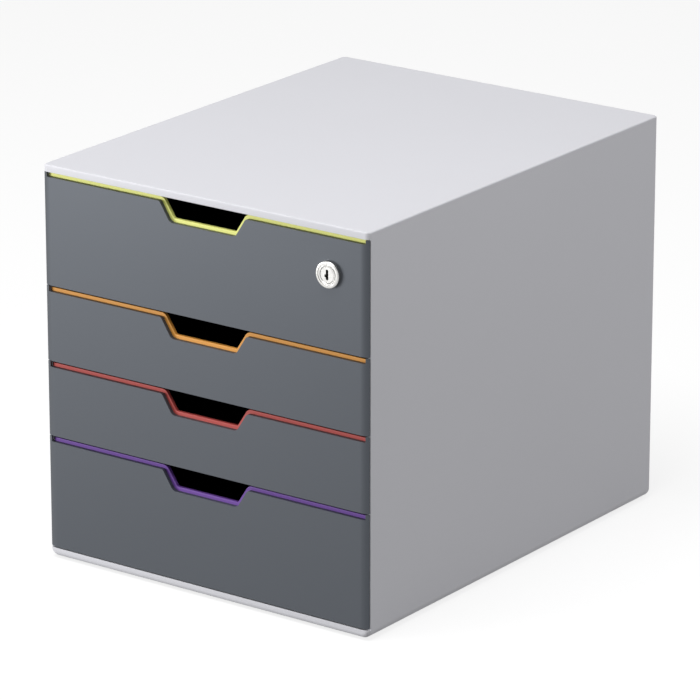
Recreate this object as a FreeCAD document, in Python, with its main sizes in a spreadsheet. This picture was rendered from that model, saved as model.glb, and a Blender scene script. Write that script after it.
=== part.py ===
import FreeCAD, Part
import os
import re
import Sketcher

# A desktop file drawer: a one-piece case with four full-width drawers, the top one with a lock.
# Millimetres. X runs to the right, Y from the fronts to the back, Z up from the desk.
# Every piece is drawn from the front plane (y = 0) and from its own level, then placed.

driving_sizes = {
    # case
    "case_width": 280,
    "case_depth": 356,
    "case_height": 292,
    "side_wall": 2.8,
    "top_wall": 2.8,
    "base_wall": 3,
    "top_rim": 5.2,
    "base_rim": 6.2,
    "rim_depth": 7,
    "corner_round": 3.6,
    "base_round": 4.8,
    "top_round": 1.2,
    "side_edge_round": 1,
    # rear panel
    "rear_plate": 2.5,
    "rear_inset": 2,
    "rear_skirt": 8,
    "rear_wall": 2,
    "rear_fit": 0.15,
    "snap_width": 16,
    "snap_height": 3,
    "snap_grip": 1.2,
    "snap_level": 75,
    "rib_spacing": 40,
    # feet
    "foot_proud": 1.5,
    "foot_radius": 8,
    "foot_recess": 1.2,
    "foot_fit": 0.1,
    "foot_edge": 0.6,
    "foot_inset": 24,
    # drawers: heights in units of the opening, clearances round the fronts
    "deep_units": 3,
    "shallow_units": 2,
    "front_gap": 2,
    "closed_gap": 0.7,
    "front_plate": 3,
    "edge_curve_width": 7,
    "edge_curve_depth": 1.2,
    "edge_lip": 1.8,
    "lip_clearance": 0.5,
    "front_side_gap": 0.4,
    "front_edge_round": 0.5,
    "horn_width": 2.8,
    # finger notch in the middle of each front
    "notch_top_width": 74,
    "notch_base_width": 56,
    "notch_depth": 14,
    "notch_shoulder_round": 2.4,
    "notch_foot_round": 4.4,
    # coloured strip along each front's top edge
    "strip_reveal": 2.6,
    "strip_overlap": 2,
    "strip_depth": 2.8,
    "strip_end_gap": 0.2,
    "strip_groove": 1.7,
    "strip_fit": 0.1,
    # trays
    "tray_wall": 2,
    "tray_floor": 2,
    "tray_rise": 2,
    "tray_drop": 6.8,
    "tray_rear_space": 16,
    "tray_corner_round": 3,
    "seat_gap": 0.8,
    "flange_plate": 2,
    "flange_start": 9,
    "stop_length": 10,
    "stop_rise": 3,
    # clips that hold each front on its tray
    "clip_width": 12,
    "clip_plate": 4,
    "clip_reach": 2.4,
    "clip_hook": 1.2,
    "clip_fit": 0.2,
    "clip_level": 22,
    "clip_inner": 40,
    "clip_outer": 92,
    "clip_border": 2.5,
    # runner frames inside the case walls
    "runner_plate": 2,
    "runner_start": 8,
    "channel_depth": 8,
    "channel_rib": 1.8,
    "rib_gap": 0.7,
    "flange_gap": 0.6,
    "slide_gap": 0.3,
    "stop_block": 8,
    "travel_length": 262,
    "peg_radius": 2.5,
    "peg_length": 1.4,
    "peg_fit": 0.1,
    "peg_inset": 30,
    # lock on the top drawer
    "lock_inset": 32.6,
    "lock_drop": 29.2,
    "lock_proud": 3.2,
    "lock_flange_radius": 9.6,
    "lock_flange_round": 1,
    "lock_groove_width": 0.8,
    "lock_groove_depth": 0.5,
    "barrel_radius": 8,
    "barrel_length": 15,
    "barrel_fit": 0.1,
    "plug_radius": 5.75,
    "plug_fit": 0.05,
    "plug_recess": 0.4,
    "plug_play": 0.3,
    "key_width": 2.5,
    "key_height": 7.5,
    "key_depth": 12,
    "tail_width": 7,
    "tail_fit": 0.1,
    "nut_across": 21,
    "nut_thickness": 3.2,
    "cam_reach": 28.8,
    "cam_width": 11,
    "cam_plate": 2,
    "screw_radius": 2,
    "screw_length": 7,
    "screw_head_radius": 4,
    "screw_head": 2.4,
    "screw_fit": 0.05,
    # strike that the cam locks behind
    "strike_width": 26,
    "strike_web": 2.4,
    "strike_plate": 1.6,
    "strike_length": 12,
    "strike_gap": 2,
    "strike_clearance": 0.8,
}

document = FreeCAD.newDocument("desktop_file_drawer")
sheet = document.addObject("Spreadsheet::Sheet", "sizes")
for row, (name, size) in enumerate(driving_sizes.items(), start=1):
    sheet.set(f"A{row}", name)
    sheet.set(f"B{row}", str(size))
    sheet.setAlias(f"B{row}", name)
document.recompute()

# Places that several pieces share, as expressions on the sheet.
half_width = "(case_width / 2)"
front_plane = "(-(case_depth - lock_proud) / 2)"
opening_floor = "(foot_proud + base_rim)"
opening_top = "(case_height - top_rim)"
ceiling = "(case_height - top_wall)"
base_floor = "(foot_proud + base_wall)"
inner_half = "(case_width / 2 - side_wall)"
unit_height = f"(({opening_top} - {opening_floor}) / (2 * deep_units + 2 * shallow_units))"
front_half = f"({half_width} - front_side_gap)"
side_setback = "(edge_lip + closed_gap)"
frame_end = "(case_depth - rear_inset - rear_plate - rear_skirt)"
frame_half = f"({inner_half} - runner_plate)"
rib_half = f"({frame_half} - channel_depth)"
tray_half = f"({rib_half} - rib_gap)"
flange_half = f"({frame_half} - flange_gap)"
tray_front = "(front_plate + seat_gap)"
tray_inside = f"({tray_front} + tray_wall)"
tray_back = "(case_depth - tray_rear_space)"
strip_half = f"({front_half} - horn_width - strip_end_gap)"
lock_axis = f"({half_width} - lock_inset)"

# A tray's rear lug meets the stop block after the full travel; this is the block's front end.
stop_face = f"({tray_back} - stop_length - travel_length - slide_gap - stop_block)"

# The half angle of the notch's slope moves an offset corner sideways by this share of the offset.
notch_shift = "tan(atan(notch_depth / ((notch_top_width - notch_base_width) / 2)) / 2)"

# Drawer levels, from the top drawer down: each one's height and the floor of its space.
drawer_units = ["deep_units", "shallow_units", "shallow_units", "deep_units"]
drawers = []
for index, units in enumerate(drawer_units):
    below = " + ".join(drawer_units[index + 1:] + ["0"])
    drawers.append({
        "number": index + 1,
        "height": f"({unit_height} * {units})",
        "level": f"({opening_floor} + {unit_height} * ({below}))",
    })
top_drawer = drawers[0]

pieces = []


def on_sheet(text):
    # a size's name is a word with an underscore; each becomes a reference to its cell
    return re.sub(r"\b[a-z]+(?:_[a-z]+)+\b", r"sizes.\g<0>", text)


def number(text):
    result = sheet.evalExpression(on_sheet(text))
    return float(getattr(result, "Value", result))


def bind(feature, name, text):
    feature.setExpression(name, on_sheet(text))


def piece(label, level):
    body = document.addObject("PartDesign::Body", label)
    body.Label = label
    bind(body, "Placement.Base.y", front_plane)
    bind(body, "Placement.Base.z", level)
    pieces.append(body)
    return body


def block(body, name, x, y, z, cut=False):
    kind = "SubtractiveBox" if cut else "AdditiveBox"
    box = body.newObject(f"PartDesign::{kind}", name)
    for axis, side, (low, high) in (("x", "Length", x), ("y", "Width", y), ("z", "Height", z)):
        bind(box, side, f"({high}) - ({low})")
        bind(box, f"Placement.Base.{axis}", low)
    return box


def rod(body, name, x, y, z, radius, cut=False, axis="y"):
    # a cylinder along y (or x) between the two ends given for that axis
    kind = "SubtractiveCylinder" if cut else "AdditiveCylinder"
    cylinder = body.newObject(f"PartDesign::{kind}", name)
    start, end = y if axis == "y" else x
    turn = FreeCAD.Rotation(FreeCAD.Vector(1, 0, 0), -90)
    if axis == "x":
        turn = FreeCAD.Rotation(FreeCAD.Vector(0, 1, 0), 90)
    cylinder.Placement = FreeCAD.Placement(FreeCAD.Vector(), turn)
    bind(cylinder, "Placement.Base.x", x if axis == "y" else start)
    bind(cylinder, "Placement.Base.y", start if axis == "y" else y)
    bind(cylinder, "Placement.Base.z", z)
    bind(cylinder, "Radius", radius)
    bind(cylinder, "Height", f"({end}) - ({start})")
    return cylinder


def sketch_on(body, name, role, offset):
    sketch = body.newObject("Sketcher::SketchObject", name)
    plane = next(item for item in body.Origin.OriginFeatures if item.Role == role)
    sketch.AttachmentSupport = [(plane, "")]
    sketch.MapMode = "FlatFace"
    bind(sketch, "AttachmentOffset.Base.z", offset)
    return sketch


def fix_point(sketch, line, x, y):
    for kind, text in (("DistanceX", x), ("DistanceY", y)):
        made = sketch.addConstraint(Sketcher.Constraint(kind, -1, 1, line, 1, number(text)))
        bind(sketch, f"Constraints[{made}]", text)


def outline(body, name, corners, role="XZ_Plane", offset="0", arc=None):
    # a closed polygon of lines; arc = (side index, radius) bends one side
    sketch = sketch_on(body, name, role, offset)
    places = [FreeCAD.Vector(number(x), number(y), 0) for x, y in corners]
    count = len(corners)
    for side in range(count):
        start, end = places[side], places[(side + 1) % count]
        if arc and arc[0] == side:
            sketch.addGeometry(bent_side(start, end, number(arc[1])))
        else:
            sketch.addGeometry(Part.LineSegment(start, end))
    for side in range(count):
        following = (side + 1) % count
        sketch.addConstraint(Sketcher.Constraint("Coincident", side, 2, following, 1))
    for side, (x, y) in enumerate(corners):
        fix_point(sketch, side, x, y)
    if arc:
        made = sketch.addConstraint(Sketcher.Constraint("Radius", arc[0], number(arc[1])))
        bind(sketch, f"Constraints[{made}]", arc[1])
    return sketch


def bent_side(start, end, radius):
    # the shorter arc from start to end that turns to the left
    chord = end - start
    left = FreeCAD.Vector(-chord.y, chord.x, 0).normalize()
    rise = (radius ** 2 - (chord.Length / 2) ** 2) ** 0.5
    centre = (start + end) / 2 + left * rise
    middle = centre - left * radius
    return Part.Arc(start, middle, end)


def pad(body, name, sketch, length):
    # a sketch on the XZ plane faces forward, so its solid grows backward
    solid = body.newObject("PartDesign::Pad", name)
    solid.Profile = sketch
    solid.Reversed = True
    bind(solid, "Length", length)
    return solid


def pocket(body, name, sketch, length, upward=False):
    # from the XZ plane it cuts backward; from the XY plane it cuts downward unless upward is set
    document.recompute()
    before = body.Tip.Shape.Volume
    hollow = body.newObject("PartDesign::Pocket", name)
    hollow.Profile = sketch
    hollow.Reversed = upward
    bind(hollow, "Length", length)
    document.recompute()
    if hollow.Shape.Volume >= before:
        raise ValueError(f"{body.Label}: {name} cuts nothing")
    return hollow


def lies_at(edge, **places):
    box = edge.BoundBox
    ends = {"x": (box.XMin, box.XMax), "y": (box.YMin, box.YMax), "z": (box.ZMin, box.ZMax)}
    near = 0.02
    return all(abs(end - place) < near for axis, place in places.items() for end in ends[axis])


def round_edges(body, name, radius, chosen):
    document.recompute()
    base = body.Tip
    names = [f"Edge{n}" for n, edge in enumerate(base.Shape.Edges, start=1) if chosen(edge)]
    if not names:
        raise ValueError(f"{body.Label}: {name} finds no edge")
    fillet = body.newObject("PartDesign::Fillet", name)
    fillet.Base = (base, names)
    bind(fillet, "Radius", radius)
    return fillet


def mirrored(side, inner, outer):
    # the span from inner to outer on the right (side 1) or the left (side -1)
    return (inner, outer) if side > 0 else (f"-({outer})", f"-({inner})")


def both_ways(half):
    return f"-({half})", half


def notch_path(edge_level, offset, half):
    # the top edge of a front from left to right, moved by offset towards the notch's opening
    shift = f"{notch_shift} * ({offset})"
    top = f"({edge_level} + ({offset}))"
    low = f"({top} - notch_depth)"
    shoulder = f"(notch_top_width / 2 - {shift})"
    foot = f"(notch_base_width / 2 - {shift})"
    return [(f"-({half})", top), (f"-{shoulder}", top), (f"-{foot}", low),
            (foot, low), (shoulder, top), (half, top)]


def round_notch(body, name, edge_level, offset):
    # shoulders turn outward and feet inward, each kept concentric with the front's own corners
    path = notch_path(edge_level, offset, half_width)
    corners = [(number(x), number(z)) for x, z in path]
    for part, picked, radius in (("shoulders", (1, 4), f"notch_shoulder_round + ({offset})"),
                                 ("feet", (2, 3), f"notch_foot_round - ({offset})")):
        spots = [corners[n] for n in picked]
        round_edges(body, f"{name}_{part}", radius,
                    lambda edge: any(lies_at(edge, x=x, z=z) for x, z in spots))


def housing_shell():
    body = piece("housing_shell", "0")
    wide = both_ways(half_width)
    block(body, "outer", wide, ("0", "case_depth"), ("foot_proud", "case_height"))
    sides = (-number(half_width), number(half_width))
    ends = (0, number("case_depth"))
    low, high = number("foot_proud"), number("case_height")
    round_edges(body, "base_side_edges", "base_round",
                lambda edge: any(lies_at(edge, x=x, z=low) for x in sides))
    # the rest of each end face's outline runs on from these edges, and is rounded with them
    round_edges(body, "end_edges", "corner_round",
                lambda edge: any(lies_at(edge, y=y, z=low) for y in ends))
    round_edges(body, "top_edges", "top_round",
                lambda edge: any(lies_at(edge, y=y, z=high) for y in ends))
    block(body, "front_seat", wide, ("0", side_setback), (opening_floor, opening_top), cut=True)
    # the seat cuts into the rounded upright corners, so its outer edges lie a little inside the sides
    setback, corner = number(side_setback), number("corner_round")
    inward = corner - (corner ** 2 - max(corner - setback, 0) ** 2) ** 0.5
    round_edges(body, "side_front_edges", "side_edge_round",
                lambda edge: any(lies_at(edge, x=x * (1 - inward / sides[1]), y=setback) for x in sides))
    inside = both_ways(inner_half)
    block(body, "mouth", inside, (side_setback, "rim_depth"), (opening_floor, opening_top), cut=True)
    block(body, "cavity", inside, ("rim_depth", "case_depth"), (base_floor, ceiling), cut=True)
    for n, (x, y) in enumerate(foot_places()):
        well = body.newObject("PartDesign::SubtractiveCylinder", f"foot_well_{n + 1}")
        bind(well, "Radius", "foot_radius + foot_fit")
        bind(well, "Height", "foot_recess")
        bind(well, "Placement.Base.x", x)
        bind(well, "Placement.Base.y", y)
        bind(well, "Placement.Base.z", "foot_proud")
    for side in (1, -1):
        for n, (y, z) in enumerate(peg_places()):
            x = mirrored(side, inner_half, f"{inner_half} + peg_length + peg_fit")
            rod(body, f"peg_hole_{n}", x, y, z, "peg_radius + peg_fit", cut=True, axis="x")
        for n, z in enumerate(snap_levels()):
            x = mirrored(side, inner_half, f"{inner_half} + snap_grip")
            block(body, f"snap_pocket_{n}", x, snap_span("rear_fit"),
                  (f"{z} - snap_width / 2 - rear_fit", f"{z} + snap_width / 2 + rear_fit"), cut=True)


def foot_places():
    near = f"({half_width} - foot_inset)"
    rear = "(case_depth - foot_inset)"
    return [(f"-{near}", "foot_inset"), (near, "foot_inset"), (f"-{near}", rear), (near, rear)]


def peg_places():
    rows = (f"{base_floor} + peg_inset", f"{ceiling} - peg_inset")
    columns = ("runner_start + peg_inset", f"{frame_end} - peg_inset")
    return [(y, z) for z in rows for y in columns]


def snap_levels():
    return ("snap_level", "(case_height - snap_level)")


def snap_span(gap):
    middle = "(case_depth - rear_inset - rear_plate - rear_skirt / 2)"
    return f"{middle} - snap_height / 2 - {gap}", f"{middle} + snap_height / 2 + {gap}"


def rear_panel():
    # a plate with a skirt that snaps into the back of the case, stiffened by upright ribs
    body = piece("rear_panel", "0")
    outer = f"({inner_half} - rear_fit)"
    low, high = f"({base_floor} + rear_fit)", f"({ceiling} - rear_fit)"
    front = frame_end
    back = "(case_depth - rear_inset)"
    block(body, "plate_and_skirt", both_ways(outer), (front, back), (low, high))
    block(body, "skirt_hollow", both_ways(f"{outer} - rear_wall"), (front, f"{back} - rear_plate"),
          (f"{low} + rear_wall", f"{high} - rear_wall"), cut=True)
    for n in range(-2, 3):
        middle = f"({n} * rib_spacing)"
        block(body, f"rib_{n + 3}", (f"{middle} - rear_wall / 2", f"{middle} + rear_wall / 2"),
              (f"{back} - rear_plate - rear_wall", f"{back} - rear_plate"),
              (f"{low} + rear_wall", f"{high} - rear_wall"))
    for side in (1, -1):
        for n, z in enumerate(snap_levels()):
            x = mirrored(side, outer, f"{inner_half} + snap_grip - rear_fit")
            block(body, f"snap_{n}", x, snap_span("0"),
                  (f"{z} - snap_width / 2", f"{z} + snap_width / 2"))


def runner_frame(label, side):
    # a plate on the case's side wall with a channel for each tray's flange and a stop at its mouth
    body = piece(label, "0")
    low, high = f"{base_floor} + rear_fit", f"{ceiling} - rear_fit"
    block(body, "plate", mirrored(side, frame_half, inner_half), ("runner_start", frame_end), (low, high))
    ribs = mirrored(side, rib_half, frame_half)
    for drawer in drawers:
        n = drawer["number"]
        rim = f"({drawer['level']} + {drawer['height']} - tray_drop)"
        under = f"({rim} - flange_plate - slide_gap)"
        over = f"({rim} + stop_rise + slide_gap)"
        span = ("runner_start", frame_end)
        block(body, f"lower_rib_{n}", ribs, span, (f"{under} - channel_rib", under))
        block(body, f"upper_rib_{n}", ribs, span, (over, f"{over} + channel_rib"))
        block(body, f"stop_{n}", ribs, (stop_face, f"{stop_face} + stop_block"),
              (f"{rim} + slide_gap", over))
    for n, (y, z) in enumerate(peg_places()):
        x = mirrored(side, inner_half, f"{inner_half} + peg_length")
        rod(body, f"peg_{n}", x, y, z, "peg_radius", axis="x")


def foot(label, x, y):
    body = piece(label, "0")
    bind(body, "Placement.Base.x", x)
    bind(body, "Placement.Base.y", f"{front_plane} + {y}")
    tall = "(foot_proud + foot_recess)"
    profile = outline(body, "profile", [("0", "0"), ("foot_radius - foot_edge", "0"),
                                        ("foot_radius", "foot_edge"), ("foot_radius", tall), ("0", tall)])
    turned = body.newObject("PartDesign::Revolution", "turned")
    turned.Profile = profile
    turned.ReferenceAxis = (profile, ["V_Axis"])
    turned.Angle = 360


def tray(drawer):
    # a tub hung by its side flanges, with a wide front wall that carries the front and its strip
    body = piece(f"drawer_{drawer['number']}_tray", drawer["level"])
    rim = f"({drawer['height']} - tray_drop)"
    block(body, "tub", both_ways(tray_half), (tray_inside, tray_back), ("tray_rise", rim))
    low_sides = (-number(tray_half), number(tray_half))
    floor_level = number("tray_rise")
    round_edges(body, "tub_lower_edges", "tray_corner_round",
                lambda edge: any(lies_at(edge, x=x, z=floor_level) for x in low_sides))
    block(body, "hollow", both_ways(f"{tray_half} - tray_wall"),
          (tray_inside, f"{tray_back} - tray_wall"), ("tray_rise + tray_floor", rim), cut=True)
    inner = number(f"{tray_half} - tray_wall")
    floor_top = number("tray_rise + tray_floor")
    round_edges(body, "hollow_lower_edges", "tray_corner_round - tray_wall / 2",
                lambda edge: any(lies_at(edge, x=x, z=floor_top) for x in (-inner, inner)))
    for side in (1, -1):
        block(body, "flange", mirrored(side, f"{tray_half} - tray_wall", flange_half),
              ("flange_start", tray_back), (f"{rim} - flange_plate", rim))
        block(body, "stop_lug", mirrored(side, f"{tray_half} + rib_gap + slide_gap", flange_half),
              (f"{tray_back} - stop_length", tray_back), (rim, f"{rim} + stop_rise"))
    edge_level = f"({drawer['height']} - front_gap / 2 - strip_reveal)"
    wall_offset = "(strip_groove - strip_overlap - strip_fit)"
    path = notch_path(edge_level, wall_offset, strip_half)
    wall = outline(body, "front_wall_outline",
                   [(f"-{strip_half}", "tray_rise")] + path + [(strip_half, "tray_rise")],
                   offset=f"-({tray_front})")
    pad(body, "front_wall", wall, "tray_wall")
    round_notch(body, "wall_notch", edge_level, wall_offset)
    through = (tray_front, tray_inside)
    for n, x in enumerate(clip_places()):
        block(body, f"clip_window_{n}",
              (f"{x} - clip_width / 2 - clip_fit", f"{x} + clip_width / 2 + clip_fit"), through,
              ("clip_level - clip_hook - clip_fit", "clip_level + clip_plate + clip_fit"), cut=True)
    if drawer is top_drawer:
        rod(body, "lock_hole", lock_axis, through, lock_level(), "barrel_radius + barrel_fit", cut=True)


def clip_places():
    return ("-clip_outer", "-clip_inner", "clip_inner", "clip_outer")


def lock_level():
    return f"({top_drawer['height']} - lock_drop)"


def front(drawer):
    # the dark plate over the case's full width, with a notch and a short horn at each end;
    # its ends thin to lips that lie over the case's side walls
    body = piece(f"drawer_{drawer['number']}_front", drawer["level"])
    low = "(front_gap / 2)"
    high = f"({drawer['height']} - front_gap / 2)"
    edge_level = f"({high} - strip_reveal)"
    horn = f"({front_half} - horn_width)"
    path = notch_path(edge_level, "0", horn)
    plate = outline(body, "plate_outline",
                    [(f"-{front_half}", low), (f"-{front_half}", high), (f"-{horn}", high)] + path
                    + [(horn, high), (front_half, high), (front_half, low)])
    pad(body, "plate", plate, "front_plate")
    round_notch(body, "notch", edge_level, "0")
    curve = "((edge_curve_width ^ 2 + edge_curve_depth ^ 2) / (2 * edge_curve_depth))"
    for side, hand in ((1, "right"), (-1, "left")):
        flat_end, tip = mirrored(side, f"{front_half} - edge_curve_width", front_half)[::side]
        corners = [(flat_end, "0"), (tip, "edge_curve_depth"), (tip, "0")]
        waste = outline(body, f"waste_{hand}", corners[::side], role="XY_Plane",
                        arc=(0 if side > 0 else 1, curve))
        pocket(body, f"curved_edge_{hand}", waste, high, upward=True)
    round_edges(body, "front_rim", "front_edge_round",
                lambda edge: lies_at(edge, y=0) and edge.Length > number("edge_curve_width"))
    for side in (1, -1):
        block(body, "lip_cut", mirrored(side, f"{inner_half} - lip_clearance", half_width),
              ("edge_lip", "front_plate"), (low, high), cut=True)
    for n, x in enumerate(clip_places()):
        wide = (f"{x} - clip_width / 2", f"{x} + clip_width / 2")
        tongue = ("clip_level", "clip_level + clip_plate")
        block(body, f"clip_seat_{n}",
              (f"{x} - clip_width / 2 - clip_border", f"{x} + clip_width / 2 + clip_border"),
              ("front_plate", tray_front),
              ("clip_level - clip_hook - clip_border", "clip_level + clip_plate + clip_border"))
        block(body, f"clip_tongue_{n}", wide, (tray_front, f"{tray_inside} + clip_reach"), tongue)
        block(body, f"clip_hook_{n}", wide, (f"{tray_inside} + clip_fit", f"{tray_inside} + clip_reach"),
              ("clip_level - clip_hook", "clip_level"))
    if drawer is top_drawer:
        rod(body, "lock_hole", lock_axis, ("0", tray_front), lock_level(),
            "barrel_radius + barrel_fit", cut=True)


def strip(drawer):
    # a coloured band bent round the notch; its lip hangs between the front and the tray's front wall
    body = piece(f"drawer_{drawer['number']}_strip", drawer["level"])
    edge_level = f"({drawer['height']} - front_gap / 2 - strip_reveal)"
    over = notch_path(edge_level, "strip_reveal", strip_half)
    under = notch_path(edge_level, "-strip_overlap", strip_half)
    band = outline(body, "band_outline", over + under[::-1], offset="-front_plate")
    pad(body, "band", band, "strip_depth")
    round_notch(body, "upper", edge_level, "strip_reveal")
    round_notch(body, "lower", edge_level, "-strip_overlap")
    groove_top = notch_path(edge_level, "strip_groove - strip_overlap", strip_half)
    groove_mouth = notch_path(edge_level, "-strip_overlap - strip_fit", strip_half)
    groove = outline(body, "groove_outline", groove_top + groove_mouth[::-1],
                     offset=f"-({tray_front} - strip_fit)")
    pocket(body, "groove", groove, "tray_wall + 2 * strip_fit")
    round_notch(body, "groove", edge_level, "strip_groove - strip_overlap")


def lock_barrel():
    body = piece("lock_barrel", top_drawer["level"])
    rod(body, "flange", lock_axis, ("-lock_proud", "0"), lock_level(), "lock_flange_radius")
    round_edges(body, "flange_edge", "lock_flange_round",
                lambda edge: lies_at(edge, y=-number("lock_proud")))
    rod(body, "barrel", lock_axis, ("0", "barrel_length"), lock_level(), "barrel_radius")
    ring = "(barrel_radius - lock_groove_width)"
    depth = ("-lock_proud", "lock_groove_depth - lock_proud")
    rod(body, "face_groove", lock_axis, depth, lock_level(), "barrel_radius", cut=True)
    rod(body, "face_land", lock_axis, depth, lock_level(), ring)
    rod(body, "bore", lock_axis, ("-lock_proud", "barrel_length"), lock_level(),
        "plug_radius + plug_fit", cut=True)


def lock_plug():
    body = piece("lock_plug", top_drawer["level"])
    face = "(plug_recess - lock_proud)"
    rod(body, "cylinder", lock_axis, (face, "barrel_length"), lock_level(), "plug_radius")
    tail_span = ("barrel_length", "barrel_length + plug_play + cam_plate")
    block(body, "tail", *square_at("tail_width / 2", tail_span))
    slot_x = (f"{lock_axis} - key_width / 2", f"{lock_axis} + key_width / 2")
    slot_z = (f"{lock_level()} - key_height / 2", f"{lock_level()} + key_height / 2")
    block(body, "keyway", slot_x, (face, f"{face} + key_depth"), slot_z, cut=True)
    end = "(barrel_length + plug_play + cam_plate)"
    rod(body, "screw_hole", lock_axis, (f"{end} - screw_length", end), lock_level(),
        "screw_radius + screw_fit", cut=True)


def square_at(half, y):
    level = lock_level()
    return (f"{lock_axis} - {half}", f"{lock_axis} + {half}"), y, (f"{level} - {half}", f"{level} + {half}")


def lock_nut():
    body = piece("lock_nut", top_drawer["level"])
    level = lock_level()
    corner = "(nut_across / sqrt(3))"
    half = "(nut_across / 2)"
    corners = [(f"{lock_axis} + {corner}", level),
               (f"{lock_axis} + {corner} / 2", f"{level} + {half}"),
               (f"{lock_axis} - {corner} / 2", f"{level} + {half}"),
               (f"{lock_axis} - {corner}", level),
               (f"{lock_axis} - {corner} / 2", f"{level} - {half}"),
               (f"{lock_axis} + {corner} / 2", f"{level} - {half}")]
    hexagon = outline(body, "hexagon", corners, offset=f"-{tray_inside}")
    pad(body, "nut", hexagon, "nut_thickness")
    rod(body, "bore", lock_axis, (tray_inside, f"{tray_inside} + nut_thickness"), level,
        "barrel_radius + plug_fit", cut=True)


def lock_cam():
    # a flat arm on the plug's square tail; it lies to the left when the drawer is unlocked
    body = piece("lock_cam", top_drawer["level"])
    level = lock_level()
    start = "(barrel_length + plug_play)"
    span = (start, f"{start} + cam_plate")
    half = "(cam_width / 2)"
    block(body, "arm", (f"{lock_axis} - cam_reach + {half}", lock_axis), span,
          (f"{level} - {half}", f"{level} + {half}"))
    rod(body, "hub", lock_axis, span, level, half)
    rod(body, "tip", f"{lock_axis} - cam_reach + {half}", span, level, half)
    block(body, "square_hole", *square_at("(tail_width / 2 + tail_fit)", span), cut=True)


def lock_cam_screw():
    body = piece("lock_cam_screw", top_drawer["level"])
    level = lock_level()
    seat = "(barrel_length + plug_play + cam_plate)"
    rod(body, "head", lock_axis, (seat, f"{seat} + screw_head"), level, "screw_head_radius")
    rod(body, "shank", lock_axis, (f"{seat} - screw_length + screw_fit", seat), level, "screw_radius")


def lock_strike():
    # a bracket under the case's top; the raised cam stands behind its web
    body = piece("lock_strike", "0")
    rim = f"({opening_top} - tray_drop)"
    web_back = "(barrel_length + plug_play - strike_clearance)"
    wide = (f"{lock_axis} - strike_width / 2", f"{lock_axis} + strike_width / 2")
    block(body, "web", wide, (f"{web_back} - strike_web", web_back), (f"{rim} + strike_gap", ceiling))
    block(body, "plate", wide, (web_back, f"{web_back} + strike_length"),
          (f"{ceiling} - strike_plate", ceiling))


def build():
    housing_shell()
    rear_panel()
    runner_frame("left_runner_frame", -1)
    runner_frame("right_runner_frame", 1)
    foot_labels = ("foot_front_left", "foot_front_right", "foot_rear_left", "foot_rear_right")
    for label, (x, y) in zip(foot_labels, foot_places()):
        foot(label, x, y)
    lock_strike()
    for drawer in drawers:
        tray(drawer)
        front(drawer)
        strip(drawer)
    for lock_piece in (lock_barrel, lock_nut, lock_plug, lock_cam, lock_cam_screw):
        lock_piece()
    document.recompute()


def check():
    for item in document.Objects:
        if "Invalid" in item.State or "Error" in item.State:
            raise ValueError(f"{item.Label} failed: {item.State}")
    for body in pieces:
        if body.Shape.isNull() or not body.Shape.isValid():
            raise ValueError(f"{body.Label} has no valid shape")


def export():
    os.makedirs("parts", exist_ok=True)
    for body in pieces:
        body.Shape.exportStep(f"parts/{body.Label}.step")


build()
check()
export()
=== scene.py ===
import math
import bmesh
import bpy
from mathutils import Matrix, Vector


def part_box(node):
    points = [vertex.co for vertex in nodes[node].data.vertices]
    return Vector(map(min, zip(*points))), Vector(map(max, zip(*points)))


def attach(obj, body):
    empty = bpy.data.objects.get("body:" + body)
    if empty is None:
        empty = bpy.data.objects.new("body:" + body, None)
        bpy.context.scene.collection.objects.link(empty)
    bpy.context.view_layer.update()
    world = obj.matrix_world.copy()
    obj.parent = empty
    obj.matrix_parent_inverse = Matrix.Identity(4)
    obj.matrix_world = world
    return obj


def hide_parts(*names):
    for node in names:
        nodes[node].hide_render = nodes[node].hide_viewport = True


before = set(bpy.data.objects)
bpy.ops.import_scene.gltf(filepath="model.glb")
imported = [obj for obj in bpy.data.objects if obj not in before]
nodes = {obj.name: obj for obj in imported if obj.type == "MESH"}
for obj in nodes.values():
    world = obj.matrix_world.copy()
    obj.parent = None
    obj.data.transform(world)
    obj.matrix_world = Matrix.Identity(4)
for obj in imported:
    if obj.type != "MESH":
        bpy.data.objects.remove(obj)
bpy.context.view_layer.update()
print("frame loaded:", len(nodes), "nodes")


def mm(value):
    return value / 1000


def deselectAll():
    if bpy.context.object and bpy.context.object.mode != "OBJECT":
        bpy.ops.object.mode_set(mode="OBJECT")
    bpy.ops.object.select_all(action="DESELECT")


def makeActive(piece):
    deselectAll()
    piece.select_set(True)
    bpy.context.view_layer.objects.active = piece


def addBox(name, low, high):
    deselectAll()
    low, high = Vector(low), Vector(high)
    bpy.ops.mesh.primitive_cube_add(size=1, location=(low + high) / 2, scale=high - low)
    bpy.ops.object.transform_apply(location=True, rotation=True, scale=True)
    bpy.context.object.name = name
    return bpy.context.object


def addRod(name, start, end, radius, sides=64):
    # a cylinder from start to end, both on one line parallel to an axis
    deselectAll()
    start, end = Vector(start), Vector(end)
    run = end - start
    turn = Vector((0, 0, 1)).rotation_difference(run).to_euler()
    bpy.ops.mesh.primitive_cylinder_add(vertices=sides, radius=radius, depth=run.length,
                                        location=(start + end) / 2, rotation=turn)
    bpy.ops.object.transform_apply(location=True, rotation=True, scale=True)
    bpy.context.object.name = name
    return bpy.context.object


def pick(piece, kind, test):
    # in edit mode, selects the vertices, edges or faces for which test is true
    makeActive(piece)
    bpy.ops.object.mode_set(mode="EDIT")
    bpy.ops.mesh.select_mode(type=kind)
    bpy.ops.mesh.select_all(action="DESELECT")
    mesh = bmesh.from_edit_mesh(piece.data)
    parts = {"VERT": mesh.verts, "EDGE": mesh.edges, "FACE": mesh.faces}[kind]
    count = 0
    for part in parts:
        if test(part):
            part.select_set(True)
            count += 1
    mesh.select_flush_mode()
    bmesh.update_edit_mesh(piece.data)
    if not count:
        raise ValueError(f"{piece.name}: nothing picked")


def doneEditing():
    bpy.ops.object.mode_set(mode="OBJECT")


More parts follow.
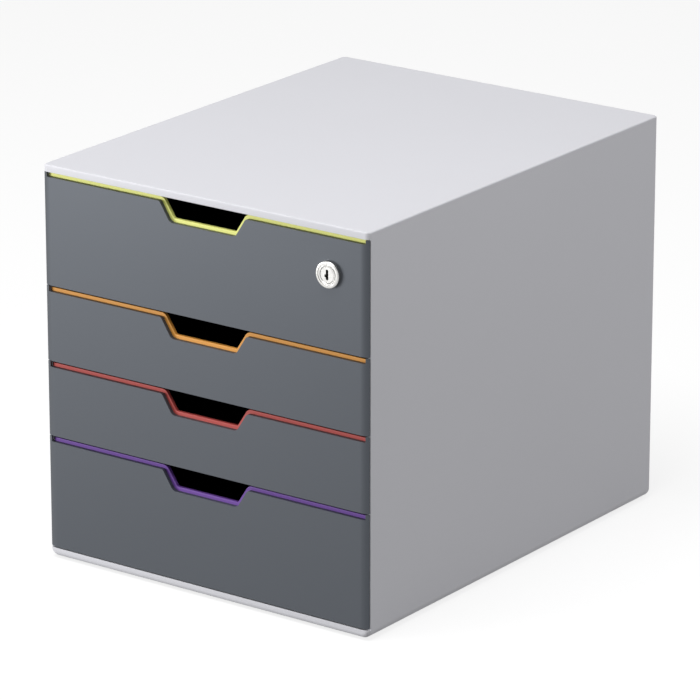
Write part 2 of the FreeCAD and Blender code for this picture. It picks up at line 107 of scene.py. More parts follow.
def near(value, target, slack=2e-5):
    return abs(value - target) < slack


def edgeAlong(axis, **places):
    # a test for straight edges along an axis that lie at the given places, with x on either side
    columns = {"x": 0, "y": 1, "z": 2}

    def test(edge):
        first, second = edge.verts[0].co, edge.verts[1].co
        run = second - first
        if abs(run[columns[axis]]) < run.length * 0.999:
            return False
        return all(near(abs(first[columns[name]]) if name == "x" else first[columns[name]], place)
                   for name, place in places.items())
    return test


def bothEnds(edge, test):
    return all(test(vertex.co) for vertex in edge.verts)


def runsBack(edge):
    # true for an edge that runs straight from front to back
    return abs((edge.verts[1].co - edge.verts[0].co).normalized().y) > 0.99


def bevelEdges(piece, width, segments, test):
    pick(piece, "EDGE", test)
    bpy.ops.mesh.bevel(offset=width, segments=segments, profile=0.5, affect="EDGES", clamp_overlap=True)
    doneEditing()


def applyModifier(piece, kind, **settings):
    makeActive(piece)
    modifier = piece.modifiers.new(kind.lower(), kind)
    for name, value in settings.items():
        setattr(modifier, name, value)
    bpy.ops.object.modifier_apply(modifier=modifier.name)


def cutAway(piece, *cutters):
    for cutter in cutters:
        applyModifier(piece, "BOOLEAN", operation="DIFFERENCE", solver="EXACT", object=cutter)
        bpy.data.objects.remove(cutter)


def joinTo(piece, *others):
    makeActive(piece)
    for other in others:
        other.select_set(True)
    bpy.ops.object.join()


def sideBoxes(name, inner, outer, low, high):
    # a box on each side, from inner to outer across, with low and high as (y, z)
    boxes = []
    for side in (-1, 1):
        ends = sorted((side * inner, side * outer))
        boxes.append(addBox(name, (ends[0], *low), (ends[1], *high)))
    return boxes


def copyPiece(piece, name, move):
    # a second piece with its own mesh, moved in its mesh so that the object stays at the origin
    makeActive(piece)
    bpy.ops.object.duplicate(linked=False)
    made = bpy.context.object
    made.name = name
    bpy.ops.object.mode_set(mode="EDIT")
    bpy.ops.mesh.select_mode(type="VERT")
    bpy.ops.mesh.select_all(action="SELECT")
    bpy.ops.transform.translate(value=move)
    doneEditing()
    return made


def belongs(piece, nodeName, body):
    # what the frame must know of a finished piece
    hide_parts(nodeName)
    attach(piece, body)
    return piece


def softenEdges(piece, width, segments=3, angle=35):
    # small moulded radii on every sharp edge, then smooth shading that keeps the flats flat
    makeActive(piece)
    bpy.ops.object.shade_smooth()
    applyModifier(piece, "BEVEL", width=width, segments=segments, limit_method="ANGLE",
                  angle_limit=math.radians(angle), harden_normals=True, use_clamp_overlap=True)


class Flow:
    # wraps an output socket, so that sums on it add Math nodes
    def __init__(self, tree, socket):
        self.tree = tree
        self.socket = socket

    def combine(self, operation, other, swapped=False):
        node = self.tree.nodes.new("ShaderNodeMath")
        node.operation = operation
        first, second = (other, self) if swapped else (self, other)
        feed(self.tree, node.inputs[0], first)
        feed(self.tree, node.inputs[1], second)
        return Flow(self.tree, node.outputs[0])

    def __add__(self, other):
        return self.combine("ADD", other)

    def __sub__(self, other):
        return self.combine("SUBTRACT", other)

    def __rsub__(self, other):
        return self.combine("SUBTRACT", other, swapped=True)

    def __mul__(self, other):
        return self.combine("MULTIPLY", other)

    __radd__ = __add__
    __rmul__ = __mul__


def feed(tree, socket, value):
    if isinstance(value, Flow):
        tree.links.new(value.socket, socket)
    else:
        socket.default_value = value


def addNode(tree, kind, settings=None, output=0, sockets=None):
    # settings are the node's own properties; sockets are its inputs, by name or by place
    made = tree.nodes.new(kind)
    for name, value in (settings or {}).items():
        setattr(made, name, value)
    for label, value in (sockets or {}).items():
        feed(tree, made.inputs[label], value)
    return Flow(tree, made.outputs[output])


class Finish:
    # one material with its Principled shader
    def __init__(self, name, **fixed):
        self.material = bpy.data.materials.new(name)
        self.material.use_nodes = True
        self.tree = self.material.node_tree
        self.shader = self.tree.nodes["Principled BSDF"]
        for label, value in fixed.items():
            self.shader.inputs[label.replace("_", " ")].default_value = value
        self.place = addNode(self.tree, "ShaderNodeTexCoord", output="Object")

    def noise(self, scale, detail=2.0, roughness=0.5):
        return addNode(self.tree, "ShaderNodeTexNoise", {"noise_dimensions": "3D"}, "Fac", {
            "Vector": self.place, "Scale": scale, "Detail": detail, "Roughness": roughness})

    def blend(self, share, first, second):
        # a Mix node's colour sockets come after those for numbers and vectors
        return addNode(self.tree, "ShaderNodeMix", {"data_type": "RGBA"}, 2, {0: share, 6: first, 7: second})

    def set(self, label, flow):
        feed(self.tree, self.shader.inputs[label], flow)

    def bump(self, height, strength, distance):
        self.set("Normal", addNode(self.tree, "ShaderNodeBump", None, "Normal", {
            "Height": height, "Strength": strength, "Distance": distance}))


def colour(red, green, blue):
    return (red, green, blue, 1)


# The frame gives the places that the pieces are built on.
caseLow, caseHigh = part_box("housing_shell")
barrelLow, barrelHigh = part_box("lock_barrel")
frontY = caseLow.y
halfWidth = caseHigh.x
lockX = (barrelLow.x + barrelHigh.x) / 2
lockZ = (barrelLow.z + barrelHigh.z) / 2
frontGap = mm(2)
frontSideGap = mm(0.4)
frontHalf = halfWidth - frontSideGap
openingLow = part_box("drawer_4_front")[0].z - frontGap / 2
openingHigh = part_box("drawer_1_front")[1].z + frontGap / 2

caseLook = {
    "sideWall": mm(2.8),
    "topWall": mm(2.8),
    "baseWall": mm(3),
    "rimDepth": mm(7),
    "seatDepth": mm(2.5),
    "seatSlack": mm(0.5),
    "baseRound": mm(6),
    "endRound": mm(3.6),
    "topRound": mm(1.2),
    "sideFrontRound": mm(1),
    "footRadius": mm(8.1),
    "footWell": mm(1.2),
    "softEdge": mm(0.35),
}


def makeCase():
    look = caseLook
    piece = addBox("caseShell", caseLow, caseHigh)
    beyond = mm(2)

    def atEnd(edge):
        return any(bothEnds(edge, lambda place: near(place.y, end)) for end in (caseLow.y, caseHigh.y))

    def atTop(edge):
        return bothEnds(edge, lambda place: near(place.z, caseHigh.z))

    bevelEdges(piece, look["baseRound"], 10, edgeAlong("y", x=halfWidth, z=caseLow.z))
    bevelEdges(piece, look["endRound"], 8, lambda edge: atEnd(edge) and not atTop(edge))
    # the flat top's outline, whose corners are round by now
    bevelEdges(piece, look["topRound"], 5, lambda edge: atTop(edge)
               and sum(face.normal.z > 0.99 for face in edge.link_faces) == 1)
    seatBack = frontY + look["seatDepth"]
    seat = addBox("seat", (-halfWidth - beyond, frontY - beyond, openingLow),
                  (halfWidth + beyond, seatBack, openingHigh))
    cutAway(piece, seat)
    # the seat cuts into the rounded upright corners, so its outer edges lie a little inside the sides
    outerX = halfWidth - look["seatSlack"]
    bevelEdges(piece, look["sideFrontRound"], 4, lambda edge: bothEnds(
        edge, lambda place: near(place.y, seatBack) and abs(place.x) > outerX)
        and abs(edge.verts[0].co.z - edge.verts[1].co.z) > (openingHigh - openingLow) / 2)
    innerX = halfWidth - look["sideWall"]
    rimBack = frontY + look["rimDepth"]
    mouth = addBox("mouth", (-innerX, frontY - beyond, openingLow), (innerX, rimBack + beyond, openingHigh))
    cavity = addBox("cavity", (-innerX, rimBack, caseLow.z + look["baseWall"]),
                    (innerX, caseHigh.y + beyond, caseHigh.z - look["topWall"]))
    cutAway(piece, mouth, cavity)
    for corner in ("front_left", "front_right", "rear_left", "rear_right"):
        low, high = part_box(f"foot_{corner}")
        middle = (low + high) / 2
        well = addRod("well", (middle.x, middle.y, caseLow.z - beyond),
                      (middle.x, middle.y, caseLow.z + look["footWell"]), look["footRadius"], 48)
        cutAway(piece, well)
    softenEdges(piece, look["softEdge"])
    return belongs(piece, "housing_shell", "case")


frontLook = {
    "plate": mm(3),
    "curveWidth": mm(7),
    "curveDepth": mm(1.6),
    "lip": mm(2),
    "lipClearance": mm(0.5),
    "hornWidth": mm(2.8),
    "hornGap": mm(0.6),
    "lowCorner": mm(2.4),
    "stripReveal": mm(2.6),
    "notchTop": mm(74),
    "notchBase": mm(56),
    "notchDepth": mm(14),
    "shoulderRound": mm(2.4),
    "footRound": mm(4.4),
    "lockHole": mm(8.1),
    "softEdge": mm(0.5),
    "curveSteps": 40,
    "blockSpare": mm(1),
    "beyond": mm(7),  # how far cutting pieces reach past the plate
}
notchSlope = math.atan2(frontLook["notchDepth"], (frontLook["notchTop"] - frontLook["notchBase"]) / 2)
roundShare = math.tan(notchSlope / 2)  # a corner's tangent length over its radius


def levelOf(number):
    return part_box(f"drawer_{number}_front")[1].z


def curvedPlate(name, low, top):
    # the upright edges fall back in wide arcs, cut from a broader block with round corners
    look = frontLook
    beyond = look["beyond"]
    radius = (look["curveWidth"] ** 2 + look["curveDepth"] ** 2) / 2 / look["curveDepth"]
    blockHalf = frontHalf - look["curveWidth"] + radius
    blockBack = frontY + radius + look["blockSpare"]
    plateBack = frontY + look["plate"]
    piece = addBox(name, (-blockHalf, frontY, low), (blockHalf, blockBack, top))
    bevelEdges(piece, radius, look["curveSteps"], edgeAlong("z", x=blockHalf, y=frontY))
    cutAway(piece, addBox("spare", (-blockHalf - beyond, plateBack, low - beyond),
                          (blockHalf + beyond, blockBack + beyond, top + beyond)))
    cutAway(piece, *sideBoxes("spare", frontHalf, blockHalf + beyond,
                              (frontY - beyond, low - beyond), (plateBack + beyond, top + beyond)))
    return piece


def cutTopEdge(piece, top):
    # the strip's room between the horns, and the finger notch with its sloped ends
    look = frontLook
    beyond = look["beyond"]
    back = frontY + look["plate"] + beyond
    level = top - look["stripReveal"]
    notchFloor = level - look["notchDepth"]
    hornX = frontHalf - look["hornWidth"]
    notchHalf = look["notchBase"] / 2
    room = addBox("room", (-hornX, frontY - beyond, level), (hornX, back, top + beyond))
    notch = addBox("notch", (-notchHalf, frontY - beyond, notchFloor), (notchHalf, back, level + beyond))
    spread = 1 + (look["notchDepth"] + beyond) / math.tan(notchSlope) / notchHalf
    pick(notch, "VERT", lambda vertex: vertex.co.z > level)
    bpy.ops.transform.resize(value=(spread, 1, 1), center_override=(0, 0, 0))
    doneEditing()
    bevelEdges(notch, look["footRound"] * roundShare, 8, edgeAlong("y", z=notchFloor))
    cutAway(piece, room, notch)
    bevelEdges(piece, look["shoulderRound"] * roundShare, 6,
               edgeAlong("y", x=look["notchTop"] / 2, z=level))


def makeFront(number):
    look = frontLook
    beyond = look["beyond"]
    low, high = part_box(f"drawer_{number}_front")
    back = frontY + look["plate"] + beyond
    hornTop = (openingHigh if number == 1 else high.z + frontGap) - look["hornGap"]
    piece = curvedPlate(f"front{number}", low.z, hornTop)
    cutTopEdge(piece, high.z)
    # the plate's ends thin to lips that lie over the case's side walls
    cutAway(piece, *sideBoxes("lipCut", halfWidth - caseLook["sideWall"] - look["lipClearance"],
                              halfWidth + beyond, (frontY + look["lip"], low.z - beyond),
                              (back, high.z + beyond)))
    if number == 4:
        # the lowest front's lower corners follow the case's rounded ones
        bevelEdges(piece, look["lowCorner"], 6, lambda edge: bothEnds(
            edge, lambda place: near(place.z, low.z) and near(abs(place.x), frontHalf)))
    if number == 1:
        cutAway(piece, addRod("hole", (lockX, frontY - beyond, lockZ), (lockX, back, lockZ),
                              look["lockHole"]))
    softenEdges(piece, look["softEdge"])
    joinTo(piece, *makeClips(number))
    return piece


clipLook = {
    "places": (-92, -40, 40, 92),
    "width": mm(12),
    "plate": mm(4),
    "border": mm(2.5),
    "level": mm(21),
    "seat": mm(0.8),
    "tongue": mm(5.2),
    "hook": mm(1.2),
    "hookLength": mm(2.2),
    "hookRoot": mm(0.5),
    "hookChamfer": mm(0.9),
    "softEdge": mm(0.2),
    "sunk": mm(0.1),  # how far a part reaches into the one that it stands on
}


def makeClips(number):
    # seats on the back of the front, each with a tongue that goes through the tray's front wall
    look = clipLook
    back = frontY + frontLook["plate"]
    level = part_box(f"drawer_{number}_front")[0].z + look["level"]
    top = level + look["plate"]
    half = look["width"] / 2
    border = look["border"]
    hookLow = level - look["hook"]
    seatBack = back + look["seat"]
    end = back + look["tongue"]
    clip = addBox("clip", (-half - border, back - look["sunk"], hookLow - border),
                  (half + border, seatBack, top + border))
    tongue = addBox("tongue", (-half, seatBack - look["sunk"], level), (half, end, top))
    hook = addBox("hook", (-half, end - look["hookLength"], hookLow), (half, end, level + look["hookRoot"]))
    bevelEdges(hook, look["hookChamfer"], 1, edgeAlong("x", y=end, z=hookLow))
    for part in (clip, tongue, hook):
        softenEdges(part, look["softEdge"], 2)
    joinTo(clip, tongue, hook)
    clips = [copyPiece(clip, "clip", (mm(place), 0, 0)) for place in look["places"]]
    bpy.data.objects.remove(clip)
    return clips


stripLook = {
    "overlap": mm(2),
    "endGap": mm(0.2),
    "depth": mm(2.8),
    "softEdge": mm(0.45),
}


def makeStrip():
    # the top drawer's strip, which the others copy
    look, front = stripLook, frontLook
    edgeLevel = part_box("drawer_1_strip")[1].z - front["stripReveal"]
    start = frontY + front["plate"]
    halfStrip = frontHalf - front["hornWidth"] - look["endGap"]
    stretches = 5
    deselectAll()
    bpy.ops.mesh.primitive_grid_add(x_subdivisions=stretches, y_subdivisions=1, size=2,
                                    rotation=(math.pi / 2, 0, 0), location=(0, start, edgeLevel))
    bpy.ops.object.transform_apply(location=True, rotation=True, scale=True)
    piece = bpy.context.object
    piece.name = "strip1"
    corners = {}
    for side, offset in ((1, front["stripReveal"]), (-1, -look["overlap"])):
        # the upper side lies above the plate's edge and the lower side behind it
        level = edgeLevel + offset
        drop = level - front["notchDepth"]
        shoulder = front["notchTop"] / 2 - roundShare * offset
        foot = front["notchBase"] / 2 - roundShare * offset
        path = ((-halfStrip, level), (-shoulder, level), (-foot, drop), (foot, drop), (shoulder, level),
                (halfStrip, level))
        for column, (x, z) in enumerate(path):
            was = Vector((2 * column / stretches - 1, start, edgeLevel + side))
            pick(piece, "VERT", lambda vertex: (vertex.co - was).length < mm(10))
            bpy.ops.transform.translate(value=Vector((x, start, z)) - was)
            doneEditing()
        corners[side] = (shoulder, foot, level, drop)
    pick(piece, "FACE", lambda face: True)
    bpy.ops.mesh.extrude_region_move(TRANSFORM_OT_translate={"value": (0, look["depth"], 0)})
    bpy.ops.mesh.select_all(action="SELECT")
    bpy.ops.mesh.normals_make_consistent(inside=False)
    doneEditing()
    shoulder, foot, level, drop = corners[1]
    bevelEdges(piece, (front["shoulderRound"] + front["stripReveal"]) * roundShare, 8,
               edgeAlong("y", x=shoulder, z=level))
    bevelEdges(piece, (front["footRound"] - front["stripReveal"]) * roundShare, 5,
               edgeAlong("y", x=foot, z=drop))
    shoulder, foot, level, drop = corners[-1]
    bevelEdges(piece, (front["footRound"] + look["overlap"]) * roundShare, 8,
               edgeAlong("y", x=foot, z=drop))
    softenEdges(piece, look["softEdge"])
    return piece


def spinAround(name, centre, profile, upright=False, sides=96):
    # spins a profile of (radius, way along the axis) points into a closed solid; the axis points back, or up
    deselectAll()
    bpy.ops.mesh.primitive_plane_add(size=mm(1))
    piece = bpy.context.object
    piece.name = name
    bpy.ops.object.mode_set(mode="EDIT")
    bpy.ops.mesh.select_mode(type="VERT")
    bpy.ops.mesh.select_all(action="SELECT")
    bpy.ops.mesh.merge(type="CENTER")
    axis = Vector((0, 0, 1)) if upright else Vector((0, 1, 0))
    places = [Vector(centre) + Vector((radius, 0, 0)) + axis * run for radius, run in profile]
    bpy.ops.transform.translate(value=places[0])
    for before, after in zip(places, places[1:]):
        bpy.ops.mesh.extrude_region_move(TRANSFORM_OT_translate={"value": after - before})
    bpy.ops.mesh.select_all(action="SELECT")
    bpy.ops.mesh.spin(steps=sides, angle=2 * math.pi, center=centre, axis=axis)
    bpy.ops.mesh.select_all(action="SELECT")
    bpy.ops.mesh.remove_doubles(threshold=2e-6)
    bpy.ops.mesh.normals_make_consistent(inside=False)
    doneEditing()
    return piece


def roundCorner(outer, face, turn, steps):
    # a quarter round in a profile, from the flat face out to the outer radius
    points = []
    for step in range(steps + 1):
        angle = math.pi / 2 * step / steps
        points.append((outer - turn + turn * math.sin(angle), face + turn - turn * math.cos(angle)))
    return points


barrelLook = {
    "proud": mm(3.2),
    "flangeRadius": mm(9.6),
    "flangeRound": mm(1),
    "grooveOuter": mm(7.7),
    "grooveInner": mm(6.7),
    "grooveDepth": mm(0.5),
    "grooveFlare": mm(0.15),
    "boreRadius": mm(5.8),
    "boreChamfer": mm(0.35),
    "bodyRadius": mm(8),
    "bodyLength": mm(15),
    "bodyChamfer": mm(0.5),
    "edgeBreak": mm(0.15),
    "threadStart": mm(3),
    "threadPitch": mm(1),
    "threadDepth": mm(0.55),
    "threadFlat": 0.15,  # share of half a pitch, on either side of a thread's root
    "markRadius": mm(0.45),
    "markDepth": mm(0.4),
}


def makeLockBarrel():
    look = barrelLook
    face = -look["proud"]
    crest, bore, length = look["bodyRadius"], look["boreRadius"], look["bodyLength"]
    inner, outer, flare = look["grooveInner"], look["grooveOuter"], look["grooveFlare"]
    flange, edge = look["flangeRadius"], look["edgeBreak"]
    profile = [(bore, face + look["boreChamfer"]), (bore + look["boreChamfer"], face), (inner, face),
               (inner + flare, face + look["grooveDepth"]), (outer - flare, face + look["grooveDepth"]),
               (outer, face)]
    profile += roundCorner(flange, face, look["flangeRound"], 8)
    profile += [(flange, -edge), (flange - edge, 0), (crest, 0)]
    root = crest - look["threadDepth"]
    half = look["threadPitch"] / 2
    run = look["threadStart"]
    while run + look["threadPitch"] < length:
        profile += [(crest, run), (root, run + half * (1 - look["threadFlat"])),
                    (root, run + half * (1 + look["threadFlat"]))]
        run += look["threadPitch"]
    profile += [(crest, run), (crest, length - look["bodyChamfer"]), (root, length), (bore, length)]
    profile.append(profile[0])
    piece = spinAround("lockBarrel", (lockX, frontY, lockZ), profile)
    # a small sunk mark above the keyway, on the ring outside the groove
    markZ = lockZ + (outer + flange - look["flangeRound"]) / 2
    cutAway(piece, addRod("mark", (lockX, frontY + face - mm(1), markZ),
                          (lockX, frontY + face + look["markDepth"], markZ), look["markRadius"], 24))
    makeActive(piece)
    bpy.ops.object.shade_smooth_by_angle(angle=math.radians(28))
    return belongs(piece, "lock_barrel", "drawer_1")


plugLook = {
    "radius": mm(5.75),
    "chamfer": mm(0.3),
    "recess": mm(0.4),
    "keyWidth": mm(2.1),
    "keyHeight": mm(7.4),
    "keyDepth": mm(12),
    "wardWidth": mm(1.1),
    "wardHeight": mm(2),
    "wardDrop": 0.9,  # share of the ward's height that lies below the middle
    "tailWidth": mm(7),
    "edgeRound": mm(0.4),
    "softEdge": mm(0.12),
}


def makeLockPlug():
    look = plugLook
    face = look["recess"] - barrelLook["proud"]
    length = barrelLook["bodyLength"]
    radius, chamfer = look["radius"], look["chamfer"]
    profile = [(0, face), (radius - chamfer, face), (radius, face + chamfer), (radius, length - chamfer),
               (radius - chamfer, length), (0, length)]
    piece = spinAround("lockPlug", (lockX, frontY, lockZ), profile)
    beyond = mm(1)

    def keyBox(lowX, highX, lowZ, highZ):
        return addBox("key", (lockX + lowX, frontY + face - beyond, lockZ + lowZ),
                      (lockX + highX, frontY + face + look["keyDepth"], lockZ + highZ))

    half = look["keyWidth"] / 2
    slot = keyBox(-half, half, -look["keyHeight"] / 2, look["keyHeight"] / 2)
    bevelEdges(slot, half * 0.9, 6, runsBack)
    wardLow = -look["wardHeight"] * look["wardDrop"]
    ward = keyBox(-half - look["wardWidth"], 0, wardLow, wardLow + look["wardHeight"])
    bevelEdges(ward, look["edgeRound"], 4, runsBack)
    cutAway(piece, slot, ward)
    tailHalf = look["tailWidth"] / 2
    tail = addBox("tail", (lockX - tailHalf, frontY + length - beyond, lockZ - tailHalf),
                  (lockX + tailHalf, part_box("lock_plug")[1].y, lockZ + tailHalf))
    bevelEdges(tail, look["edgeRound"], 3, runsBack)
    applyModifier(piece, "BOOLEAN", operation="UNION", solver="EXACT", object=tail)
    bpy.data.objects.remove(tail)
    softenEdges(piece, look["softEdge"], 2)
    return belongs(piece, "lock_plug", "lock_core")


footLook = {
    "rimRound": mm(0.6),
    "rimWidth": mm(2.6),
    "dishEdge": mm(0.6),
    "dishDepth": mm(0.4),
}


def makeFoot():
    # the front left foot: a rubber disc in a well of the base, with a soft rim and a shallow dish underneath
    look = footLook
    low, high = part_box("foot_front_left")
    centre = ((low.x + high.x) / 2, (low.y + high.y) / 2, low.z)
    radius = (high.x - low.x) / 2
    tall = high.z - low.z
    rim = radius - look["rimWidth"]
    profile = [(0, look["dishDepth"]), (rim - look["dishEdge"], look["dishDepth"]), (rim, 0)]
    profile += roundCorner(radius, 0, look["rimRound"], 6)
    profile += [(radius, tall), (0, tall)]
    piece = spinAround("footPad", centre, profile, upright=True, sides=64)
    makeActive(piece)
    bpy.ops.object.shade_smooth_by_angle(angle=math.radians(32))
    return piece


def finishNode(name, width, segments=2):
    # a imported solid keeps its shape: its points are merged and its sharp edges softened by live modifiers
    node = nodes[name]
    makeActive(node)
    if node.data.has_custom_normals:
        bpy.ops.mesh.customdata_custom_splitnormals_clear()
    bpy.ops.object.shade_smooth()
    weld = node.modifiers.new("weld", "WELD")
    weld.merge_threshold = 1e-6
    bevel = node.modifiers.new("bevel", "BEVEL")
    bevel.width, bevel.segments, bevel.limit_method = width, segments, "ANGLE"
    bevel.angle_limit = math.radians(35)
    bevel.harden_normals = True
    return node


print("modelling the case")
case = makeCase()
print("modelling the fronts and strips")
stripSlots = ("strip_yellow", "strip_orange", "strip_red", "strip_purple")
fronts = [makeFront(1), makeFront(2)]
fronts.append(copyPiece(fronts[1], "front3", (0, 0, levelOf(3) - levelOf(2))))
fronts.append(makeFront(4))
strips = [makeStrip()]
for number in (2, 3, 4):
    strips.append(copyPiece(strips[0], f"strip{number}", (0, 0, levelOf(number) - levelOf(1))))
for number, slotName in enumerate(stripSlots, start=1):
    belongs(fronts[number - 1], f"drawer_{number}_front", f"drawer_{number}")
    belongs(strips[number - 1], f"drawer_{number}_strip", f"drawer_{number}")
print("modelling the lock and feet")
lockBarrel = makeLockBarrel()
lockPlug = makeLockPlug()
feet = [makeFoot()]
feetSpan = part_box("foot_rear_right")[0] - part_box("foot_front_left")[0]
for name, move in (("footPadFrontRight", (feetSpan.x, 0, 0)), ("footPadRearLeft", (0, feetSpan.y, 0)),
                   ("footPadRearRight", (feetSpan.x, feetSpan.y, 0))):
    feet.append(copyPiece(feet[0], name, move))
for foot, corner in zip(feet, ("front_left", "front_right", "rear_left", "rear_right")):
    belongs(foot, f"foot_{corner}", "case")
print("finishing the packed pieces")
trays = [finishNode(f"drawer_{number}_tray", mm(0.35)) for number in range(1, 5)]
rearPanel = finishNode("rear_panel", mm(0.35))
runners = [finishNode(name, mm(0.3)) for name in ("left_runner_frame", "right_runner_frame")]
hardware = [finishNode(name, mm(0.2)) for name in ("lock_nut", "lock_cam", "lock_cam_screw", "lock_strike")]


plasticLook = {
    "patchScale": 9,
    "patchShare": 0.6,
    "mottle": 0.03,
    "grainGloss": 0.1,
    "patchGloss": 0.06,
    "grainStrength": 0.18,
    "grainDepth": mm(0.05),
}


def mouldedPlastic(name, tint, grain, roughness, **fixed):
    # satin moulded plastic: a fine grain, slight patches of tone and gloss
    look = plasticLook
    finish = Finish(name, **fixed)
    patches = finish.noise(look["patchScale"], 3)
    grains = finish.noise(grain, 3, 0.6)
    dark = colour(*(part * (1 - look["mottle"]) for part in tint))
    light = colour(*(part * (1 + look["mottle"]) for part in tint))
    tone = patches * look["patchShare"] + grains * (1 - look["patchShare"])
    glossiest = roughness - (look["grainGloss"] + look["patchGloss"]) / 2
    finish.set("Base Color", finish.blend(tone, dark, light))
    finish.set("Roughness", grains * look["grainGloss"] + patches * look["patchGloss"] + glossiest)
    finish.bump(grains, look["grainStrength"], look["grainDepth"])
    return finish.material


metalLook = {
    "patchScale": 260,
    "patchShade": 0.9,
    "lineGloss": 0.12,
    "patchGloss": 0.1,
    "lineStrength": 0.1,
    "lineDepth": mm(0.02),
    "glossier": 0.1,  # how far its glossiest spots lie under the given roughness
}


def platedMetal(name, tint, roughness, brush):
    # plated metal with faint brushed lines and duller patches
    look = metalLook
    finish = Finish(name, Metallic=1.0)
    patches = finish.noise(look["patchScale"], 3)
    lines = finish.noise(brush, 2, 0.6)
    shaded = colour(*(part * look["patchShade"] for part in tint))
    finish.set("Base Color", finish.blend(patches, shaded, colour(*tint)))
    finish.set("Roughness", lines * look["lineGloss"] + patches * look["patchGloss"]
               + (roughness - look["glossier"]))
    finish.bump(lines, look["lineStrength"], look["lineDepth"])
    return finish.material


def rubber():
    finish = Finish("footRubber", IOR=1.45)
    grains = finish.noise(1400, 3, 0.6)
    finish.set("Base Color", finish.blend(grains, colour(0.02, 0.02, 0.021), colour(0.04, 0.04, 0.041)))
    finish.set("Roughness", grains * 0.15 + 0.6)
    finish.bump(grains, 0.3, mm(0.08))
    return finish.material


tints = {
    "case": (0.70, 0.70, 0.74),
    "rear": (0.60, 0.60, 0.64),
    "front": (0.042, 0.047, 0.055),
    "tray": (0.035, 0.037, 0.042),
    "runner": (0.30, 0.31, 0.33),
    "strip_yellow": (0.9, 0.92, 0.26),
    "strip_orange": (0.82, 0.37, 0.07),
    "strip_red": (0.5, 0.08, 0.07),
    "strip_purple": (0.17, 0.07, 0.36),
}

print("making the materials")
dressed = {}
dressed["case"] = mouldedPlastic("caseGrey", tints["case"], 2600, 0.56, Specular_IOR_Level=0.25)
dressed["rear"] = mouldedPlastic("rearGrey", tints["rear"], 2200, 0.5)
dressed["front"] = mouldedPlastic("frontGrey", tints["front"], 2600, 0.45, Specular_IOR_Level=0.65,
                                  Specular_Tint=colour(0.84, 0.9, 1))
dressed["tray"] = mouldedPlastic("trayGrey", tints["tray"], 2000, 0.5)
dressed["runner"] = mouldedPlastic("runnerGrey", tints["runner"], 2000, 0.5)
for slotName in stripSlots:
    dressed[slotName] = mouldedPlastic(slotName, tints[slotName], 1800, 0.4, Specular_IOR_Level=0.35)
dressed["lock"] = platedMetal("lockNickel", (0.6, 0.595, 0.58), 0.24, 900)
dressed["steel"] = platedMetal("zincSteel", (0.62, 0.63, 0.64), 0.35, 500)
dressed["rubber"] = rubber()


def dress(piece, key):
    piece.data.materials.clear()
    piece.data.materials.append(dressed[key])


dress(case, "case")
for front in fronts:
    dress(front, "front")
for strip, slotName in zip(strips, stripSlots):
    dress(strip, slotName)
for piece in (lockBarrel, lockPlug):
    dress(piece, "lock")
for foot in feet:
    dress(foot, "rubber")
for tray in trays:
    dress(tray, "tray")
dress(rearPanel, "rear")
for runner in runners:
    dress(runner, "runner")
for piece in hardware:
    dress(piece, "steel")

print("setting the floor, lights and camera")


def seenDirectly(tree):
    # 1 for what the camera sees, also in metal and through clear surfaces, and 0 for what lights the object
    rays = [addNode(tree, "ShaderNodeLightPath", output=f"Is {kind} Ray")
            for kind in ("Camera", "Glossy", "Transmission")]
    return rays[0] + rays[1] + rays[2]


stageLook = {
    "floorSize": 14,
    "floorSeen": 0.95,
    "floorBounce": 0.25,
    "floorWhite": 0.75,
    "floorStrength": 1.07,
    "worldGlow": 0.28,
}


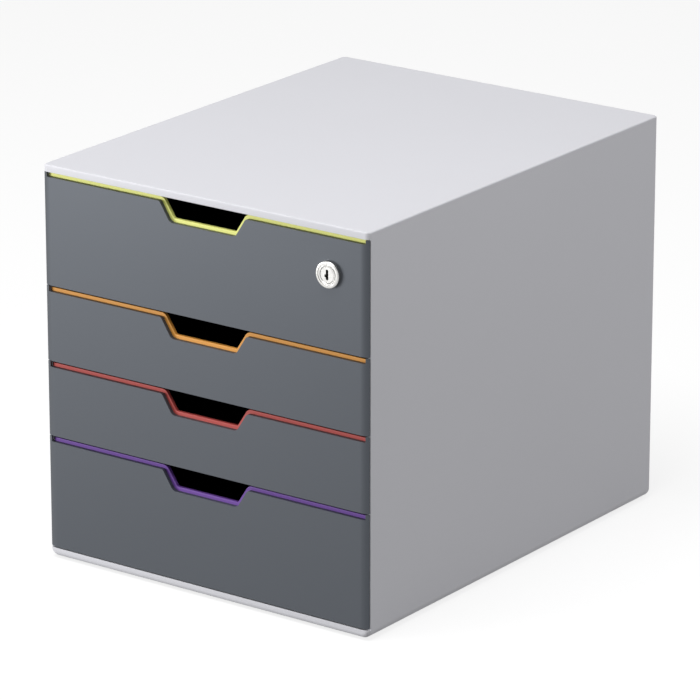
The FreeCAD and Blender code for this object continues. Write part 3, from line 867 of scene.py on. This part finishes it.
def makeStage():
    look = stageLook
    deselectAll()
    bpy.ops.mesh.primitive_plane_add(size=look["floorSize"], location=(0, 0, 0))
    floor = bpy.context.object
    floor.name = "floor"
    finish = Finish("floorWhite", Roughness=0.8, Specular_IOR_Level=0)
    tree = finish.tree
    brighter = look["floorSeen"] - look["floorBounce"]
    finish.set("Base Color", seenDirectly(tree) * brighter + look["floorBounce"])
    # it is seen as mostly plain white, with some of its shadow kept
    glow = addNode(tree, "ShaderNodeEmission", sockets={"Strength": look["floorStrength"]})
    mixed = addNode(tree, "ShaderNodeMixShader", sockets={
        0: seenDirectly(tree) * look["floorWhite"], 1: Flow(tree, finish.shader.outputs[0]), 2: glow})
    feed(tree, tree.nodes["Material Output"].inputs["Surface"], mixed)
    floor.data.materials.append(finish.material)

    world = bpy.data.worlds.new("studio")
    bpy.context.scene.world = world
    world.use_nodes = True
    tree = world.node_tree
    sky = tree.nodes["Background"]
    sky.inputs["Color"].default_value = colour(1, 1, 1)
    feed(tree, sky.inputs["Strength"], seenDirectly(tree) * (1 - look["worldGlow"]) + look["worldGlow"])


lightsLook = {
    "keyLight": {"place": (-1.16, -1.56, 0.2), "aim": (0, -0.18, 0.23), "width": 1.1, "height": 0.36,
                 "power": 22},
    "sideLight": {"place": (2.5, 0.9, 0.7), "aim": (0, 0, 0.15), "width": 1.2, "height": 1.2, "power": 14},
    "overheadLight": {"place": (0, -0.7, 2.3), "aim": (0, 0, 0.15), "width": 1.4, "height": 1.4,
                      "power": 37},
}


def addSoftLight(name, look):
    deselectAll()
    bpy.ops.object.light_add(type="AREA", location=look["place"])
    light = bpy.context.object
    light.name = name
    run = Vector(look["aim"]) - Vector(look["place"])
    light.rotation_euler = run.to_track_quat("-Z", "Y").to_euler()
    light.data.shape = "RECTANGLE"
    light.data.size = look["width"]
    light.data.size_y = look["height"]
    light.data.energy = look["power"]
    light.visible_camera = False


cameraLook = {
    "place": (1.9645, -2.7095, 1.2528),
    "tilt": 71.534,
    "turn": 35.996,
    "lens": 253.06,
    "sensor": 36,
    "reach": 60,
}


def addCamera():
    look = cameraLook
    turned = (math.radians(look["tilt"]), 0, math.radians(look["turn"]))
    bpy.ops.object.camera_add(location=look["place"], rotation=turned)
    camera = bpy.context.object
    camera.name = "photoCamera"
    camera.data.lens = look["lens"]
    camera.data.sensor_width = look["sensor"]
    camera.data.clip_end = look["reach"]
    camera.data.dof.use_dof = False
    bpy.context.scene.camera = camera


makeStage()
for name, lightLook in lightsLook.items():
    addSoftLight(name, lightLook)
addCamera()
bpy.context.scene.view_settings.view_transform = "Standard"

print("finishing")
